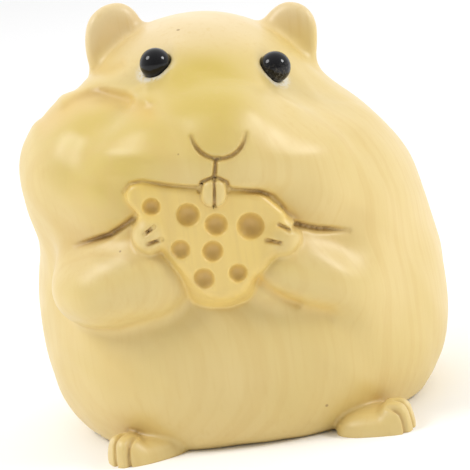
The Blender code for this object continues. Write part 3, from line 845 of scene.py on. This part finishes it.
def boxwood():
    made = bpy.data.materials.new("polished boxwood")
    made.use_nodes = True
    tree = made.node_tree
    principled = tree.nodes["Principled BSDF"]
    place = node(tree, "ShaderNodeTexCoord").outputs["Object"]
    height = parts_of(tree, place)["Z"]
    rings = ramp(tree, ring_value(tree, place), *RING_EDGES)
    ringed = math(tree, "MULTIPLY", ramp(tree, height, *RING_HEIGHTS), RING_STRENGTH)
    fibres = noise(tree, stretched(tree, place, FIBRE_STRETCH), FIBRE_SCALE, detail=2)
    grains = ramp(tree, noise(tree, place, GLUE_SCALE, detail=3, roughness=0.7), *GLUE_EDGES)
    flecks = [(distance_from(tree, place, spot), size) for spot, size in FLECKS]

    colour = tinted(tree, WOOD_PALE, WOOD_WARM, wood_warmth(tree, place))
    for tint, amount, strength in (
        # paler top of the head: a paler tone, partly painted light from above
        (WOOD_PALE_AND_LIT_TOP, ramp(tree, height, *TOP_PALE_AND_LIT_HEIGHTS), TOP_PALE_AND_LIT_STRENGTH),
        (WOOD_CHEESE, stored(tree, "cheese"), CHEESE_STRENGTH),
        (WOOD_RING, rings, ringed),
        (WOOD_RING, ramp(tree, fibres, *FIBRE_EDGES), FIBRE_STRENGTH),
        # painted shade in the hollows, along the cut strokes and in the creases
        (WOOD_VALLEY_SHADE, ramp(tree, stored(tree, "valley"), *VALLEY_SHADE_EDGES), VALLEY_SHADE_STRENGTH),
        (WOOD_VALLEY_SHADE, stored(tree, "stroke"), STROKE_SHADE_STRENGTH),
        (WOOD_CREASE_SHADE, ramp(tree, stored(tree, "crease"), *CREASE_SHADE_EDGES), CREASE_SHADE_STRENGTH),
        # painted shade deep in the cheese holes
        (WOOD_HOLE_SHADE, stored(tree, "hole"), HOLE_SHADE_STRENGTH),
        # painted shade in the knife cuts, then the wood's own dark flecks in the same colour
        (WOOD_CUT_SHADE_AND_FLECK, stored(tree, "cut"), CUT_SHADE_STRENGTH),
        *((WOOD_CUT_SHADE_AND_FLECK, ramp(tree, distance, size, size / 2), FLECK_STRENGTH) for distance, size in flecks),
        (GLUE_DUST, stored(tree, "glue"), grains),
    ):
        colour = tinted(tree, colour, tint, math(tree, "MULTIPLY", amount, strength))
    tree.links.new(colour, principled.inputs["Base Color"])

    uneven = math(tree, "MULTIPLY", noise(tree, place, SHEEN_SCALE, detail=4), SHEEN_CHANGE)
    tree.links.new(math(tree, "ADD", SHEEN_ROUGHNESS, uneven), principled.inputs["Roughness"])
    grain = math(tree, "ADD", fibres, noise(tree, place, GRAIN_SCALE, detail=5, roughness=0.6))
    bump = node(tree, "ShaderNodeBump")
    bump.inputs["Strength"].default_value = GRAIN_STRENGTH
    bump.inputs["Distance"].default_value = GRAIN_HEIGHT
    tree.links.new(grain, bump.inputs["Height"])
    tree.links.new(bump.outputs[0], principled.inputs["Normal"])
    principled.inputs["Coat Weight"].default_value = COAT_WEIGHT
    principled.inputs["Coat Roughness"].default_value = COAT_ROUGHNESS
    return made


def black_glass():
    """Polished black glass, with a little dust on its lower half."""
    made = bpy.data.materials.new("black glass")
    made.use_nodes = True
    tree = made.node_tree
    principled = tree.nodes["Principled BSDF"]
    place = node(tree, "ShaderNodeTexCoord").outputs["Object"]
    specks = ramp(tree, noise(tree, place, DUST_SCALE, detail=3, roughness=0.8), *DUST_EDGES)
    dust = math(tree, "MULTIPLY", specks, ramp(tree, parts_of(tree, place)["Z"], *DUST_HEIGHTS))
    tree.links.new(tinted(tree, BEAD_BLACK, BEAD_DUST, dust), principled.inputs["Base Color"])
    roughness = math(tree, "ADD", BEAD_ROUGHNESS, math(tree, "MULTIPLY", dust, DUST_ROUGHNESS))
    tree.links.new(roughness, principled.inputs["Roughness"])
    principled.inputs["Specular IOR Level"].default_value = BEAD_SPECULAR
    return made


# Studio


def floor():
    bpy.ops.mesh.primitive_plane_add(size=FLOOR_SIZE)
    obj = bpy.context.object
    obj.name = "studio_floor"
    made = bpy.data.materials.new("pale floor")
    made.use_nodes = True
    principled = made.node_tree.nodes["Principled BSDF"]
    principled.inputs["Base Color"].default_value = (*FLOOR_COLOUR, 1)
    principled.inputs["Roughness"].default_value = FLOOR_ROUGHNESS
    obj.data.materials.append(made)


def softbox(name, place, aim, size, power):
    lamp = bpy.data.lights.new(name, "AREA")
    lamp.shape = "DISK"
    lamp.size = size
    lamp.energy = power
    obj = bpy.data.objects.new(name, lamp)
    bpy.context.scene.collection.objects.link(obj)
    obj.location = place
    obj.rotation_euler = (Vector(aim) - Vector(place)).to_track_quat("-Z", "Y").to_euler()


def studio_light():
    """A white tent that is brighter behind the figure than in front of it, and two round softboxes."""
    world = bpy.data.worlds.new("white tent")
    world.use_nodes = True
    tree = world.node_tree
    tree.nodes["Background"].inputs["Color"].default_value = (*TENT_COLOUR, 1)
    direction = parts_of(tree, node(tree, "ShaderNodeTexCoord").outputs["Generated"])
    strength = node(tree, "ShaderNodeMapRange")
    tree.links.new(direction["Y"], strength.inputs["Value"])
    for name, value in zip(("From Min", "From Max", "To Min", "To Max"), (-1, 1, TENT_FRONT, TENT_BACK)):
        strength.inputs[name].default_value = value
    tree.links.new(strength.outputs[0], tree.nodes["Background"].inputs["Strength"])
    bpy.context.scene.world = world
    for name, (place, size, power) in SOFTBOXES.items():
        softbox(name, place, FIGURE_MIDDLE, size, power)
    bpy.context.scene.view_settings.view_transform = "Standard"


def camera():
    """Looks at the figure's front from a little above, rolled so that the figure leans back to its right."""
    level, roll = radians(CAMERA_ELEVATION), radians(CAMERA_ROLL)
    back = Vector((0, -cos(level), sin(level)))
    right, up = Vector((1, 0, 0)), Vector((0, sin(level), cos(level)))
    lens = bpy.data.cameras.new("camera")
    lens.sensor_width = SENSOR
    lens.lens = CAMERA_LENS
    obj = bpy.data.objects.new("camera", lens)
    bpy.context.scene.collection.objects.link(obj)
    axes = (right * cos(roll) - up * sin(roll), right * sin(roll) + up * cos(roll), back)
    stand = Matrix.Translation(Vector(CAMERA_AIM) + back * CAMERA_DISTANCE)
    obj.matrix_world = stand @ Matrix(axes).transposed().to_4x4()
    lens.clip_start = CAMERA_CLIP
    bpy.context.scene.camera = obj


camera()
studio_light()
floor()
carved_wood()
bead("right_glass_bead", EYE_CENTRES[0])
bead("left_glass_bead", EYE_CENTRES[1])
